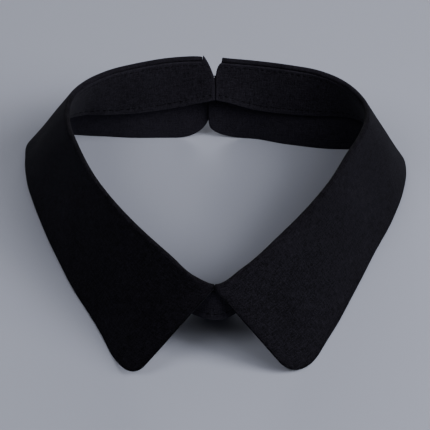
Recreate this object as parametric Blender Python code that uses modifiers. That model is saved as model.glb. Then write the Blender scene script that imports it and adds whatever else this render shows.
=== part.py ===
"""Detachable shirt collar: a false collar that closes at the nape, standing in its round, worn form.

Frame: +Z is up and the table is Z = 0. +X is the wearer's left, +Y is the nape and -Y the front.
The tables and sizes below are in millimetres; the objects are in metres.

Each half of the leaf is one wall of cloth. It starts at the seam on top of the stand, turns over in a
soft roll and falls to its hem on the table. The stand is one band, sewn on below the roll, which runs
round the front from one nape end to the other. A shank button and a thread loop close the nape.
"""
import math
from collections import namedtuple

import bmesh
import bpy
import numpy as np
from mathutils import Matrix, Vector

MM = 0.001
NAME = "detachable_shirt_collar"

# Cloth walls and the seam between them
LEAF_WALL = 1.3
STAND_WALL = 1.4
SEAM_GAP = 0.3
SEAM_DROP = 0.3         # from the roll's inner side down to the seam
CENTRE_GAP = 0.3        # between the two leaves, at the front and below the stand at the nape

# Rounded corners: how far the rounding reaches along the edge, and how far up or down the cloth
TIP_ROUND_ALONG, TIP_ROUND_UP = 17.5, 13.8
NAPE_ROUND_ALONG, NAPE_ROUND_UP = 12.0, 11.5

# Below the stand the two leaves' nape edges meet: each swings in to one line between the first two
# heights, keeps to it, and parts from it between the last two
NAPE_LINE = -2.6        # X of the line
NAPE_MEET = (40.0, 21.0)
NAPE_PART = (11.5, 4.0)
NAPE_EASE = 9.0         # how far along the leaf the swing dies out

# Button and loop
BUTTON_RADIUS = 4.2
BUTTON_THICK = 1.2
BUTTON_LIFT = 1.1       # from the stand's face to the button's underside
BUTTON_FROM_END = 6.7
BUTTON_DOWN = 0.44      # share of the way from the seam to the stand's lower edge
SHANK_RADIUS = 1.0
LOOP_RADIUS = 0.3
LOOP_REACH = 8.4        # from the shank to the loop's sewn ends

# How finely the walls are divided
ROLL_STEPS = 6
FALL_STEPS = 6
STAND_STEPS = 4
CORNER_STEPS = 6
STATION = 4.8           # length of fold between two sections

# Cloth vertices this close to the table belong to the hem, which lies flat
HEM_REACH = 0.5

Section = namedtuple(
    "Section", "place fold_out fold_y top roll foot_out foot_y foot_z hem_out hem_y hem_z")
StandEnd = namedtuple("StandEnd", "reach rise drop power")

# fold: centre of the roll and the height of its top; roll: its radius to the middle of the wall; foot:
# lower edge of the stand; hem: edge of the leaf, before its corners are rounded. "out" is measured from
# the middle towards the half's own side. The stand's two ends are each half a seam gap from the middle.
# The leaf starts at "leaf end".
WEARERS_RIGHT = [
    Section("stand end",      0.15, 65.8, 43.8, 1.6,   0.15, 60.7, 25.6,  -4.0, 66.3,  0.0),
    Section("leaf end",       5.6,  65.9, 44.0, 1.6,   5.6,  60.7, 24.2,   2.8, 66.3,  0.0),
    Section("nape",          17.5,  65.2, 44.0, 1.4,  17.3,  61.5, 20.6,  17.0, 65.6,  0.0),
    Section("nape quarter",  32.0,  61.6, 44.0, 1.3,  32.2,  60.4, 18.8,  34.0, 65.7,  0.0),
    Section("before corner", 44.0,  56.9, 43.9, 1.3,  44.6,  58.5, 19.6,  52.0, 66.7,  0.0),
    Section("corner",        52.6,  50.6, 43.7, 1.3,  56.0,  56.6, 21.0,  69.5, 67.2,  0.0),
    Section("behind ear",    57.0,  44.4, 43.5, 1.3,  62.6,  50.8, 23.0,  78.9, 62.2,  0.0),
    Section("side back",     58.6,  36.8, 43.2, 1.3,  65.0,  40.4, 22.0,  80.0, 51.4,  0.0),
    Section("side",          58.2,  27.3, 42.9, 1.3,  64.2,  29.0, 20.6,  78.8, 40.3,  0.0),
    Section("side front",    55.2,  15.2, 42.3, 1.3,  60.6,  14.7, 19.8,  74.8, 26.3,  0.0),
    Section("jaw back",      48.4,  -1.1, 41.5, 1.4,  53.0,  -3.0, 19.5,  68.4,  7.7,  0.0),
    Section("jaw",           40.5, -14.1, 40.7, 1.4,  44.7, -17.0, 19.5,  61.6, -9.1,  0.0),
    Section("jaw front",     31.0, -26.9, 39.8, 1.5,  34.5, -29.9, 19.7,  54.2, -26.0, 0.0),
    Section("chin side",     18.2, -41.8, 38.8, 1.6,  20.3, -44.2, 20.0,  43.0, -48.4, 0.0),
    Section("chin",           8.8, -52.2, 38.0, 1.7,   9.4, -53.5, 20.2,  38.1, -61.4, -1.0),
    Section("front centre",   0.0, -56.3, 37.5, 1.7,   0.0, -57.1, 20.4,  35.0, -72.0, -3.0),
]
WEARERS_LEFT = [
    Section("stand end",      0.15, 65.8, 43.8, 1.6,   0.15, 60.7, 25.6,  -9.0, 65.4,  0.0),
    Section("leaf end",       3.2,  65.6, 43.5, 1.5,   3.2,  60.8, 24.8,  -5.0, 65.4,  0.0),
    Section("nape",          15.2,  64.6, 43.0, 1.3,  15.2,  61.6, 19.9,  14.0, 65.0,  0.0),
    Section("nape quarter",  30.4,  61.7, 43.0, 1.3,  30.5,  59.7, 18.8,  31.0, 61.5,  0.0),
    Section("before corner", 42.4,  58.2, 43.0, 1.3,  43.0,  57.5, 19.8,  47.5, 59.0,  0.0),
    Section("corner",        51.2,  52.6, 42.9, 1.3,  53.6,  55.7, 21.0,  62.5, 58.8,  0.0),
    Section("behind ear",    57.0,  45.4, 42.8, 1.3,  61.6,  50.0, 23.0,  73.0, 59.2,  0.0),
    Section("side back",     60.0,  38.3, 42.7, 1.3,  65.4,  41.2, 22.0,  78.8, 53.6,  0.0),
    Section("side",          60.2,  30.3, 42.6, 1.3,  65.4,  31.6, 20.8,  79.8, 44.6,  0.0),
    Section("side front",    58.1,  21.8, 42.4, 1.3,  62.7,  21.6, 20.0,  77.8, 32.8,  0.0),
    Section("jaw back",      52.8,   9.8, 42.0, 1.4,  57.0,   8.6, 19.6,  72.3, 16.3,  0.0),
    Section("jaw",           46.4,  -3.2, 41.4, 1.4,  50.2,  -5.6, 19.5,  65.1, -0.8,  0.0),
    Section("jaw front",     37.9, -16.6, 40.7, 1.5,  41.3, -19.2, 19.5,  57.5, -18.2, 0.0),
    Section("chin side",     25.0, -33.2, 39.5, 1.6,  27.3, -35.5, 19.8,  47.9, -39.9, 0.0),
    Section("chin",          12.5, -47.4, 38.4, 1.7,  13.5, -48.9, 20.1,  39.0, -57.2, -0.6),
    Section("front centre",   0.0, -56.3, 37.5, 1.7,   0.0, -57.1, 20.4,  32.6, -70.2, -3.0),
]

# The stand's bare ends past the leaf: how long they are, how far they rise above the seam, and the
# rounding of the top corner: its drop, and the power that makes it a slope (1) or a full round (2)
RIGHT_END = StandEnd(reach=4.8, rise=2.4, drop=10.4, power=1.2)
LEFT_END = StandEnd(reach=3.0, rise=0.0, drop=8.4, power=2.0)


def smooth(knots, values, at):
    """Cubic curve through the rows of a table, each with the slope that its neighbours give."""
    slopes = np.gradient(values, knots, axis=0)
    at = np.atleast_1d(np.asarray(at, float))
    row = np.clip(np.searchsorted(knots, at) - 1, 0, len(knots) - 2)
    width = (knots[row + 1] - knots[row])[:, None]
    u = ((at - knots[row])[:, None]) / width
    start, end = values[row], values[row + 1]
    rise_start, rise_end = slopes[row] * width, slopes[row + 1] * width
    return (
        (2 * u**3 - 3 * u**2 + 1) * start + (u**3 - 2 * u**2 + u) * rise_start
        + (-2 * u**3 + 3 * u**2) * end + (u**3 - u**2) * rise_end
    )


def ease(share):
    """A share held between 0 and 1, with a soft start and end."""
    held = min(1.0, max(0.0, share))
    return held * held * (3 - 2 * held)


def columns(sections, side, *names):
    """Chosen columns of a half's table, with "out" turned into X."""
    rows = [[getattr(section, name) * (side if name.endswith("out") else 1) for name in names]
            for section in sections]
    return np.array(rows, float)


def tangent_angle(radius, out, up, sign):
    """Angle on the roll where a straight leg to a point (out, up) from its centre leaves without a kink."""
    return math.atan2(up, out) + sign * math.acos(radius / math.hypot(out, up))


class Neckline:
    """The roll and the stand's lower edge, from the nape round the front and back to the nape."""

    def __init__(self):
        names = ("fold_out", "fold_y", "top", "roll", "foot_out", "foot_y", "foot_z")
        right = columns(WEARERS_RIGHT, -1, *names)
        left = columns(WEARERS_LEFT, 1, *names)
        self.rows = np.vstack([right, left[-2::-1]])
        self.rows[:, 2] -= self.rows[:, 3] + LEAF_WALL / 2     # from the roll's top to its centre
        steps = np.linalg.norm(np.diff(self.rows[:, :2], axis=0), axis=1)
        self.knots = np.concatenate([[0.0], np.cumsum(steps)])
        self.length = self.knots[-1]

    def at(self, along):
        """Centre of the roll, its radius, the outward direction and the stand's foot, along the fold."""
        row = smooth(self.knots, self.rows, along)[0]
        nearby = smooth(self.knots, self.rows, [along - 0.5, along + 0.5])
        run = nearby[1, :2] - nearby[0, :2]
        outward = np.array([run[1], -run[0], 0.0]) / np.linalg.norm(run)
        return row[:3], row[3], outward, row[4:]

    def on_roll(self, along, angle):
        """A point of the roll's mid-wall, at an angle up from the outward side."""
        centre, radius, outward, _ = self.at(along)
        return centre + radius * (math.cos(angle) * outward + math.sin(angle) * np.array([0, 0, 1.0]))

    def outer_angle(self, along, edge):
        """Where the roll turns into the straight fall to the hem."""
        centre, radius, outward, _ = self.at(along)
        offset = edge - centre
        return tangent_angle(radius, offset @ outward, offset[2], 1)

    def inner_angle(self, along):
        """Where the roll turns into the straight stand."""
        centre, radius, outward, foot = self.at(along)
        offset = foot - centre
        return tangent_angle(radius, offset @ outward, offset[2], -1) + 2 * math.pi

    def below_roll(self, along, drop):
        """A point of the stand's straight line, a drop below the roll's inner side."""
        foot = self.at(along)[3]
        start = self.on_roll(along, self.inner_angle(along))
        return start + (foot - start) * drop / np.linalg.norm(foot - start)

    def stand(self, along, share):
        """A point of the stand's mid-wall, from its seam (0) to its lower edge (1)."""
        seam = self.below_roll(along, SEAM_DROP + SEAM_GAP)
        return seam + (self.at(along)[3] - seam) * share


class Leaf:
    """One half of the leaf: seam, roll and fall, between its nape end and the front centre."""

    def __init__(self, neckline, sections, side):
        self.neckline, self.side = neckline, side
        self.hem = columns(sections[1:], side, "hem_out", "hem_y", "hem_z")
        own = neckline.knots[:len(sections)]
        if side > 0:
            own = neckline.length - neckline.knots[:len(WEARERS_RIGHT) - 2:-1]
        self.own_knots = own[1:]
        self.start, self.end = own[1], own[-1] - CENTRE_GAP / 2

    def along(self, own):
        """Distance along the whole neckline for a distance from this half's nape end."""
        return own if self.side < 0 else self.neckline.length - own

    def stations(self):
        """Distances of the sections, closer together where the two corners are rounded."""
        turn = np.linspace(0, math.pi / 2, CORNER_STEPS + 1)
        first = self.start + NAPE_ROUND_ALONG * (1 - np.cos(turn))
        last = self.end - TIP_ROUND_ALONG * (1 - np.cos(turn[::-1]))
        count = round((last[0] - first[-1]) / STATION)
        middle = np.linspace(first[-1], last[0], count + 1)[1:-1]
        return np.concatenate([first, middle, last])

    def fall_share(self, own):
        """How far down the fall the cloth reaches: less than 1 where a corner is rounded away."""
        share = 1.0
        corners = ((own - self.start, NAPE_ROUND_ALONG, NAPE_ROUND_UP),
                   (self.end - own, TIP_ROUND_ALONG, TIP_ROUND_UP))
        for distance, reach, height in corners:
            if distance < reach:
                left = math.sqrt(max(0.0, 1 - ((reach - distance) / reach) ** 2))
                start, edge = self.fall_line(own)
                share = 1 - height / np.linalg.norm(edge - start) * (1 - left)
        return share

    def fall_line(self, own):
        """Both ends of the straight fall: where it leaves the roll, and the unrounded hem."""
        edge = smooth(self.own_knots, self.hem, own)[0]
        along = self.along(own)
        return self.neckline.on_roll(along, self.neckline.outer_angle(along, edge)), edge

    def section(self, own):
        """The mid-wall points of one section, from the seam over the roll to the hem."""
        along = self.along(own)
        start, edge = self.fall_line(own)
        inner, outer = self.neckline.inner_angle(along), self.neckline.outer_angle(along, edge)
        turns = np.linspace(inner, outer, ROLL_STEPS + 1)
        shares = np.linspace(0, self.fall_share(own), FALL_STEPS + 1)[1:]
        return (
            [self.neckline.below_roll(along, SEAM_DROP)]
            + [self.neckline.on_roll(along, angle) for angle in turns]
            + [self.swung(own, start + (edge - start) * share) for share in shares]
        )

    def swung(self, own, point):
        """A point of the fall, drawn sideways near the nape end so that the two halves meet."""
        start, edge = self.fall_line(self.start)
        straight = start + (edge - start) * (start[2] - point[2]) / (start[2] - edge[2])
        goal = NAPE_LINE + self.side * CENTRE_GAP / 2
        down = ease((NAPE_MEET[0] - point[2]) / (NAPE_MEET[0] - NAPE_MEET[1]))
        kept = ease((point[2] - NAPE_PART[1]) / (NAPE_PART[0] - NAPE_PART[1]))
        near = 1 - ease((own - self.start) / NAPE_EASE)
        return point + np.array([(goal - straight[0]) * down * kept * near, 0.0, 0.0])


def stand_stations(neckline):
    """Distances of the stand's sections, closer together at its two bare ends."""
    turn = np.linspace(0, math.pi / 2, CORNER_STEPS + 1)
    first = RIGHT_END.reach * (1 - np.cos(turn))
    last = neckline.length - LEFT_END.reach * (1 - np.cos(turn[::-1]))
    seam_start, seam_end = first[-1] + SEAM_GAP, last[0] - SEAM_GAP
    middle = np.linspace(seam_start, seam_end, round((seam_end - seam_start) / STATION) + 1)
    return np.concatenate([first, middle, last])


def stand_top(neckline, along):
    """Share at which the stand's cloth starts: 0 at the seam, above it and rounded at a bare end."""
    height = np.linalg.norm(neckline.stand(along, 1) - neckline.stand(along, 0))
    for distance, end in ((along, RIGHT_END), (neckline.length - along, LEFT_END)):
        if distance <= end.reach:
            left = (1 - (1 - distance / end.reach) ** end.power) ** (1 / end.power)
            return ((1 - left) * end.drop - end.rise) / height
    return 0.0


def stand_sections(neckline):
    """The stand's mid-wall points, section by section."""
    sections = []
    for along in stand_stations(neckline):
        shares = np.linspace(stand_top(neckline, along), 1, STAND_STEPS + 1)
        sections.append([neckline.stand(along, share) for share in shares])
    return sections


def cloth_material(name, colour, roughness):
    """Black woven cloth, or the button's dull plastic: colour and roughness only."""
    material = bpy.data.materials.new(name)
    material.use_nodes = True
    shader = material.node_tree.nodes["Principled BSDF"]
    shader.inputs["Base Color"].default_value = (*colour, 1.0)
    shader.inputs["Roughness"].default_value = roughness
    shader.inputs["Metallic"].default_value = 0.0
    return material


def add_object(name, mesh, material, collection):
    """Puts a mesh in the collar's collection as a named object."""
    thing = bpy.data.objects.new(name, mesh)
    mesh.materials.append(material)
    collection.objects.link(thing)
    return thing


def evaluated_mesh(thing):
    """The mesh that an object's modifiers make, as a mesh of its own."""
    graph = bpy.context.evaluated_depsgraph_get()
    graph.update()
    return bpy.data.meshes.new_from_object(thing.evaluated_get(graph))


def cloth_wall(name, sections, wall, material, collection):
    """Lofts open cloth through the sections and gives it the wall's thickness, flat at the hem."""
    grid = bmesh.new()
    rows = [[grid.verts.new(Vector(point) * MM) for point in section] for section in sections]
    for row, following in zip(rows, rows[1:]):
        for j in range(len(row) - 1):
            grid.faces.new((row[j], row[j + 1], following[j + 1], following[j]))
    bmesh.ops.recalc_face_normals(grid, faces=grid.faces)
    mesh = bpy.data.meshes.new(name)
    grid.to_mesh(mesh)
    grid.free()
    thing = add_object(name, mesh, material, collection)
    thickness = thing.modifiers.new("wall", "SOLIDIFY")
    thickness.thickness = wall * MM
    thickness.offset = 0.0
    thickness.use_even_offset = True
    solid = evaluated_mesh(thing)
    thing.modifiers.clear()
    thing.data = solid
    for vertex in solid.vertices:
        if vertex.co.z < HEM_REACH * MM:
            vertex.co.z = 0.0
    solid.shade_smooth()
    solid.set_sharp_from_angle(angle=math.radians(40))
    return thing


def fastening_frame(neckline):
    """Place of the button on the stand's outer face: towards the wearer's right, up, and outwards."""
    here = neckline.stand(BUTTON_FROM_END, BUTTON_DOWN)
    along = Vector(neckline.stand(BUTTON_FROM_END + 2, BUTTON_DOWN) - here).normalized()
    up = Vector(neckline.stand(BUTTON_FROM_END, BUTTON_DOWN - 0.1) - here).normalized()
    out = along.cross(up).normalized()
    up = out.cross(along)
    face = Vector(here) + out * (STAND_WALL / 2)
    frame = Matrix((along, up, out)).transposed().to_4x4()
    frame.translation = face * MM
    return frame


def back_button(frame, material, collection):
    """A small shank button: one turned profile, with a raised rim and a stem down to the cloth."""
    under, over = BUTTON_LIFT, BUTTON_LIFT + BUTTON_THICK
    profile = [
        (0.0, SEAM_GAP), (SHANK_RADIUS, SEAM_GAP), (SHANK_RADIUS, under),
        (BUTTON_RADIUS - 0.6, under), (BUTTON_RADIUS, under + 0.5), (BUTTON_RADIUS, over - 0.4),
        (BUTTON_RADIUS - 0.4, over), (BUTTON_RADIUS - 1.2, over), (BUTTON_RADIUS - 1.7, over - 0.4),
        (0.0, over - 0.4),
    ]
    outline = bmesh.new()
    points = [outline.verts.new((radius * MM, 0.0, height * MM)) for radius, height in profile]
    for one, other in zip(points, points[1:]):
        outline.edges.new((one, other))
    mesh = bpy.data.meshes.new("back_button")
    outline.to_mesh(mesh)
    outline.free()
    thing = add_object("back_button", mesh, material, collection)
    turn = thing.modifiers.new("turn", "SCREW")
    turn.steps = turn.render_steps = 28
    turn.use_merge_vertices = True
    turn.merge_threshold = 0.00001
    turn.use_normal_calculate = True
    solid = evaluated_mesh(thing)
    thing.modifiers.clear()
    thing.data = solid
    closed = bmesh.new()
    closed.from_mesh(solid)
    bmesh.ops.remove_doubles(closed, verts=closed.verts, dist=0.00001)
    bmesh.ops.recalc_face_normals(closed, faces=closed.faces)
    closed.to_mesh(solid)
    closed.free()
    solid.shade_smooth()
    solid.set_sharp_from_angle(angle=math.radians(35))
    thing.matrix_world = frame
    return thing


def back_loop(frame, material, collection):
    """A worked thread loop: two strands from the other stand end, and a turn round the shank."""
    around = SHANK_RADIUS + SEAM_GAP + LOOP_RADIUS
    height = SEAM_GAP + LOOP_RADIUS
    turn = [(around * math.cos(angle), around * math.sin(angle))
            for angle in np.linspace(-math.pi / 2, math.pi / 2, 9)]
    route = [(-LOOP_REACH, -around)] + turn + [(-LOOP_REACH, around)]
    data = bpy.data.curves.new("back_loop", "CURVE")
    data.dimensions = "3D"
    data.bevel_depth = LOOP_RADIUS * MM
    data.bevel_resolution = 2
    data.use_fill_caps = True
    spline = data.splines.new("POLY")
    spline.points.add(len(route) - 1)
    for point, (along, up) in zip(spline.points, route):
        point.co = (along * MM, up * MM, height * MM, 1.0)
    data.materials.append(material)
    thing = bpy.data.objects.new("back_loop", data)
    collection.objects.link(thing)
    thing.matrix_world = frame
    return thing


def build():
    """Makes the whole collar."""
    for thing in list(bpy.data.objects):
        bpy.data.objects.remove(thing, do_unlink=True)
    collection = bpy.data.collections.new(NAME)
    bpy.context.scene.collection.children.link(collection)

    neckline = Neckline()
    leaf_cloth = cloth_material("leaf_cloth", (0.013, 0.013, 0.016), 0.9)
    stand_cloth = cloth_material("stand_cloth", (0.012, 0.012, 0.015), 0.9)
    button_plastic = cloth_material("button_plastic", (0.010, 0.010, 0.011), 0.35)
    loop_thread = cloth_material("loop_thread", (0.014, 0.014, 0.016), 0.8)

    for name, sections, side in (("leaf_right", WEARERS_RIGHT, -1), ("leaf_left", WEARERS_LEFT, 1)):
        leaf = Leaf(neckline, sections, side)
        walls = [leaf.section(own) for own in leaf.stations()]
        cloth_wall(name, walls, LEAF_WALL, leaf_cloth, collection)
    cloth_wall("stand", stand_sections(neckline), STAND_WALL, stand_cloth, collection)

    frame = fastening_frame(neckline)
    back_button(frame, button_plastic, collection)
    back_loop(frame, loop_thread, collection)


build()
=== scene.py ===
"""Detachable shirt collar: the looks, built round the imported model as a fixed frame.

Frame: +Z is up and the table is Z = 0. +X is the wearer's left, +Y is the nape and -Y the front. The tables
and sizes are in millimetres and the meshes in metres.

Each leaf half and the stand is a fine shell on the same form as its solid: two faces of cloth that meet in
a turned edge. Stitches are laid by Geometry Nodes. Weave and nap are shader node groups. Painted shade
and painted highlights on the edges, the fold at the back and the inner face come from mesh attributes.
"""
import logging
import math
from dataclasses import dataclass, field
from enum import Enum
from functools import partial
from typing import Callable, NamedTuple

import bmesh
import bpy
import numpy as np
from mathutils import Matrix, Vector, kdtree


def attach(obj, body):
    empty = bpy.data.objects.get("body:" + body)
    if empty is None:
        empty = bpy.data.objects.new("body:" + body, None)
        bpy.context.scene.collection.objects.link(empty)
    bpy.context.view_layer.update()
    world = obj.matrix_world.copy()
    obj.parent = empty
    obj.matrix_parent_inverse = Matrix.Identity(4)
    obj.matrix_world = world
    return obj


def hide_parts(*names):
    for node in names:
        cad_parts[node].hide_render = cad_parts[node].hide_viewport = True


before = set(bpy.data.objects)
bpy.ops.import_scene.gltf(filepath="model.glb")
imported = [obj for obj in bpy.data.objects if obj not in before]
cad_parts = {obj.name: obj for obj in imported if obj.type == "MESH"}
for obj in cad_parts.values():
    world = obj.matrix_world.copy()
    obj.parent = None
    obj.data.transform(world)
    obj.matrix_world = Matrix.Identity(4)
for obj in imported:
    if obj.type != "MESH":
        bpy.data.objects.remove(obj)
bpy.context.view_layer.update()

LOG = logging.getLogger("collar")
MM = 0.001
BODY = "root"


class Side(Enum):
    """The half of the collar, as the wearer has it; the value is the sign of X."""

    RIGHT = -1
    LEFT = 1


class Section(NamedTuple):
    """One row of a half's table: the fold, the stand's foot and the hem, in millimetres."""

    place: str
    fold_out: float
    fold_y: float
    top: float
    roll: float
    foot_out: float
    foot_y: float
    foot_z: float
    hem_out: float
    hem_y: float
    hem_z: float


WEARERS_RIGHT = [
    Section("stand end",      0.15, 65.8, 43.8, 1.6,   0.15, 60.7, 25.6,  -4.0, 66.3,  0.0),
    Section("leaf end",       5.6,  65.9, 44.0, 1.6,   5.6,  60.7, 24.2,   2.8, 66.3,  0.0),
    Section("nape",          17.5,  65.2, 44.0, 1.4,  17.3,  61.5, 20.6,  17.0, 65.6,  0.0),
    Section("nape quarter",  32.0,  61.6, 44.0, 1.3,  32.2,  60.4, 18.8,  34.0, 65.7,  0.0),
    Section("before corner", 44.0,  56.9, 43.9, 1.3,  44.6,  58.5, 19.6,  52.0, 66.7,  0.0),
    Section("corner",        52.6,  50.6, 43.7, 1.3,  56.0,  56.6, 21.0,  69.5, 67.2,  0.0),
    Section("behind ear",    57.0,  44.4, 43.5, 1.3,  62.6,  50.8, 23.0,  78.9, 62.2,  0.0),
    Section("side back",     58.6,  36.8, 43.2, 1.3,  65.0,  40.4, 22.0,  80.0, 51.4,  0.0),
    Section("side",          58.2,  27.3, 42.9, 1.3,  64.2,  29.0, 20.6,  78.8, 40.3,  0.0),
    Section("side front",    55.2,  15.2, 42.3, 1.3,  60.6,  14.7, 19.8,  74.8, 26.3,  0.0),
    Section("jaw back",      48.4,  -1.1, 41.5, 1.4,  53.0,  -3.0, 19.5,  68.4,  7.7,  0.0),
    Section("jaw",           40.5, -14.1, 40.7, 1.4,  44.7, -17.0, 19.5,  61.6, -9.1,  0.0),
    Section("jaw front",     31.0, -26.9, 39.8, 1.5,  34.5, -29.9, 19.7,  54.2, -26.0, 0.0),
    Section("chin side",     18.2, -41.8, 38.8, 1.6,  20.3, -44.2, 20.0,  43.0, -48.4, 0.0),
    Section("chin",           8.8, -52.2, 38.0, 1.7,   9.4, -53.5, 20.2,  38.1, -61.4, -1.0),
    Section("front centre",   0.0, -56.3, 37.5, 1.7,   0.0, -57.1, 20.4,  35.0, -72.0, -3.0),
]
WEARERS_LEFT = [
    Section("stand end",      0.15, 65.8, 43.8, 1.6,   0.15, 60.7, 25.6,  -9.0, 65.4,  0.0),
    Section("leaf end",       3.2,  65.6, 43.5, 1.5,   3.2,  60.8, 24.8,  -5.0, 65.4,  0.0),
    Section("nape",          15.2,  64.6, 43.0, 1.3,  15.2,  61.6, 19.9,  14.0, 65.0,  0.0),
    Section("nape quarter",  30.4,  61.7, 43.0, 1.3,  30.5,  59.7, 18.8,  31.0, 61.5,  0.0),
    Section("before corner", 42.4,  58.2, 43.0, 1.3,  43.0,  57.5, 19.8,  47.5, 59.0,  0.0),
    Section("corner",        51.2,  52.6, 42.9, 1.3,  53.6,  55.7, 21.0,  62.5, 58.8,  0.0),
    Section("behind ear",    57.0,  45.4, 42.8, 1.3,  61.6,  50.0, 23.0,  73.0, 59.2,  0.0),
    Section("side back",     60.0,  38.3, 42.7, 1.3,  65.4,  41.2, 22.0,  78.8, 53.6,  0.0),
    Section("side",          60.2,  30.3, 42.6, 1.3,  65.4,  31.6, 20.8,  79.8, 44.6,  0.0),
    Section("side front",    58.1,  21.8, 42.4, 1.3,  62.7,  21.6, 20.0,  77.8, 32.8,  0.0),
    Section("jaw back",      52.8,   9.8, 42.0, 1.4,  57.0,   8.6, 19.6,  72.3, 16.3,  0.0),
    Section("jaw",           46.4,  -3.2, 41.4, 1.4,  50.2,  -5.6, 19.5,  65.1, -0.8,  0.0),
    Section("jaw front",     37.9, -16.6, 40.7, 1.5,  41.3, -19.2, 19.5,  57.5, -18.2, 0.0),
    Section("chin side",     25.0, -33.2, 39.5, 1.6,  27.3, -35.5, 19.8,  47.9, -39.9, 0.0),
    Section("chin",          12.5, -47.4, 38.4, 1.7,  13.5, -48.9, 20.1,  39.0, -57.2, -0.6),
    Section("front centre",   0.0, -56.3, 37.5, 1.7,   0.0, -57.1, 20.4,  32.6, -70.2, -3.0),
]


@dataclass
class SmoothTable:
    """Cubic curve through the rows of a table, each with the slope that its neighbours give."""

    knots: np.ndarray
    values: np.ndarray

    def __post_init__(self) -> None:
        """Works out the slopes once."""
        self.slopes = np.gradient(self.values, self.knots, axis=0)

    def at(self, place: float) -> np.ndarray:
        """The row of numbers at one position."""
        row = int(np.clip(np.searchsorted(self.knots, place) - 1, 0, len(self.knots) - 2))
        width = self.knots[row + 1] - self.knots[row]
        u = (place - self.knots[row]) / width
        start, end = self.values[row], self.values[row + 1]
        rise_start, rise_end = self.slopes[row] * width, self.slopes[row + 1] * width
        return (
            (2 * u**3 - 3 * u**2 + 1) * start + (u**3 - 2 * u**2 + u) * rise_start
            + (-2 * u**3 + 3 * u**2) * end + (u**3 - u**2) * rise_end
        )


def columns(sections: list[Section], side: Side, *names: str) -> np.ndarray:
    """Chosen columns of a half's table, with "out" turned into X.

    Args:
        sections: The half's table.
        side: The half.
        names: The columns.

    Returns:
        One row for each section.
    """
    rows = [[getattr(section, name) * (side.value if name.endswith("out") else 1) for name in names]
            for section in sections]
    return np.array(rows, float)


def tangent_angle(radius: float, out: float, up: float, sign: int) -> float:
    """Angle on the roll where a straight leg to (out, up) from its centre leaves without a kink."""
    return math.atan2(up, out) + sign * math.acos(radius / math.hypot(out, up))


def ease(share: np.ndarray) -> np.ndarray:
    """A share held between 0 and 1, with a soft start and end."""
    held = np.clip(share, 0, 1)
    return held * held * (3 - 2 * held)


def turn_in(count: int) -> np.ndarray:
    """Shares from 0 to 1 that are packed closely at 0, as points of a quarter turn are."""
    return 1 - np.cos(np.linspace(0, math.pi / 2, count + 1))


@dataclass
class Neckline:
    """The roll and the stand's lower edge, from the nape round the front and back to the nape."""

    solid_wall: float = 1.3
    leaf_wall: float = 1.0
    roll_share: float = 0.52
    turn_from: tuple[float, float] = (38.0, 10.0)
    seam_drop: float = 0.3
    seam_gap: float = 0.3
    rows: np.ndarray = field(init=False)
    knots: np.ndarray = field(init=False)
    length: float = field(init=False)

    def __post_init__(self) -> None:
        """Joins the two tables and measures along the fold."""
        names = ("fold_out", "fold_y", "top", "roll", "foot_out", "foot_y", "foot_z")
        right = columns(WEARERS_RIGHT, Side.RIGHT, *names)
        left = columns(WEARERS_LEFT, Side.LEFT, *names)
        self.rows = np.vstack([right, left[-2::-1]])
        self.tighten()
        self.rows[:, 2] -= self.rows[:, 3] + self.leaf_wall / 2
        steps = np.linalg.norm(np.diff(self.rows[:, :2], axis=0), axis=1)
        self.knots = np.concatenate([[0.0], np.cumsum(steps)])
        self.length = float(self.knots[-1])
        self.line = SmoothTable(self.knots, self.rows)
        self.known: dict[float, tuple[np.ndarray, float, np.ndarray, np.ndarray]] = {}
        self.known_stand: dict[float, tuple[np.ndarray, np.ndarray, float]] = {}

    def tighten(self) -> None:
        """Rolls the cloth tighter than the solid's thick wall allows.

        The side of the roll that the outline follows keeps its place: the outer side behind the ears, and
        the inner side from the cheeks to the front.
        """
        run = np.gradient(self.rows[:, :2], axis=0)
        outward = np.stack([run[:, 1], -run[:, 0]], axis=1) / np.linalg.norm(run, axis=1, keepdims=True)
        spared = self.rows[:, 3] * (1 - self.roll_share)
        back, front = self.turn_from
        towards = 1 - 2 * ease((self.rows[:, 1] - front) / (back - front))
        shift = towards * (spared + (self.solid_wall - self.leaf_wall) / 2)
        self.rows[:, :2] -= outward * shift[:, None]
        self.rows[:, 3] -= spared

    def at(self, along: float) -> tuple[np.ndarray, float, np.ndarray, np.ndarray]:
        """Centre of the roll, its radius, the outward direction and the stand's foot, along the fold."""
        if along not in self.known:
            row = self.line.at(along)
            run = self.line.at(along + 0.5)[:2] - self.line.at(along - 0.5)[:2]
            outward = np.array([run[1], -run[0], 0.0]) / np.linalg.norm(run)
            self.known[along] = (row[:3], float(row[3]), outward, row[4:])
        return self.known[along]

    def on_roll(self, along: float, angle: float) -> np.ndarray:
        """A point of the roll's mid-wall, at an angle up from the outward side."""
        centre, radius, outward, _ = self.at(along)
        return centre + radius * (math.cos(angle) * outward + math.sin(angle) * np.array([0, 0, 1.0]))

    def outer_angle(self, along: float, edge: np.ndarray) -> float:
        """Where the roll turns into the straight fall to the hem."""
        centre, radius, outward, _ = self.at(along)
        offset = edge - centre
        return tangent_angle(radius, offset @ outward, offset[2], 1)

    def inner_angle(self, along: float) -> float:
        """Where the roll turns into the straight stand."""
        centre, radius, outward, foot = self.at(along)
        offset = foot - centre
        return tangent_angle(radius, offset @ outward, offset[2], -1) + 2 * math.pi

    def below_roll(self, along: float, drop: float) -> np.ndarray:
        """A point of the stand's straight line, a drop below the roll's inner side."""
        foot = self.at(along)[3]
        start = self.on_roll(along, self.inner_angle(along))
        return start + (foot - start) * drop / np.linalg.norm(foot - start)

    def stand_line(self, along: float) -> tuple[np.ndarray, np.ndarray, float]:
        """The stand's seam point, the direction down its cloth, and its depth there."""
        if along not in self.known_stand:
            seam = self.below_roll(along, self.seam_drop + self.seam_gap)
            fall = self.at(along)[3] - seam
            depth = float(np.linalg.norm(fall))
            self.known_stand[along] = (seam, fall / depth, depth)
        return self.known_stand[along]


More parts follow.
